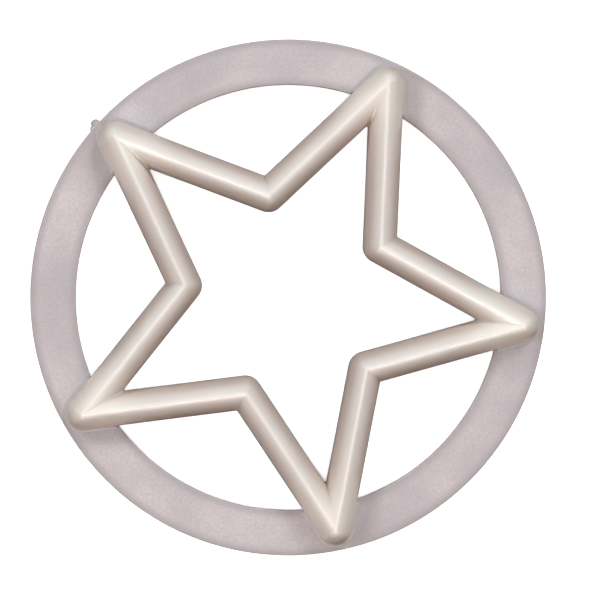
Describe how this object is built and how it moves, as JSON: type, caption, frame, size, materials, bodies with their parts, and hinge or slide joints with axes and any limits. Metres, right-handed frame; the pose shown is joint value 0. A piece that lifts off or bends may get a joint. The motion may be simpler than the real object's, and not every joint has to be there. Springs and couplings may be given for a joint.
{
  "type": "star-in-ring craft stamp",
  "caption": "Flat stamp for paper crafts: a ridged five-pointed star outline whose points are bonded over a flat carrier ring.",
  "frame": {"origin": "centre of the ring's flat back, on the surface the stamp lies on", "axes": "+Z out of the stamping side, square to the back; +X and +Y in the plane of the back, with the first star point 65.3 degrees round from +X towards +Y"},
  "size_m": [0.09, 0.09, 0.0071],
  "materials": {
    "carrier_plastic": "satin, slightly translucent",
    "die_rubber": "smooth, semi-gloss",
    "pad_adhesive": "matt"
  },
  "bodies": {
    "root": {"carrier_ring": "carrier_plastic", "star_die": "die_rubber", "bond_pad_1": "pad_adhesive", "bond_pad_2": "pad_adhesive", "bond_pad_3": "pad_adhesive", "bond_pad_4": "pad_adhesive", "bond_pad_5": "pad_adhesive"}
  },
  "joints": []
}
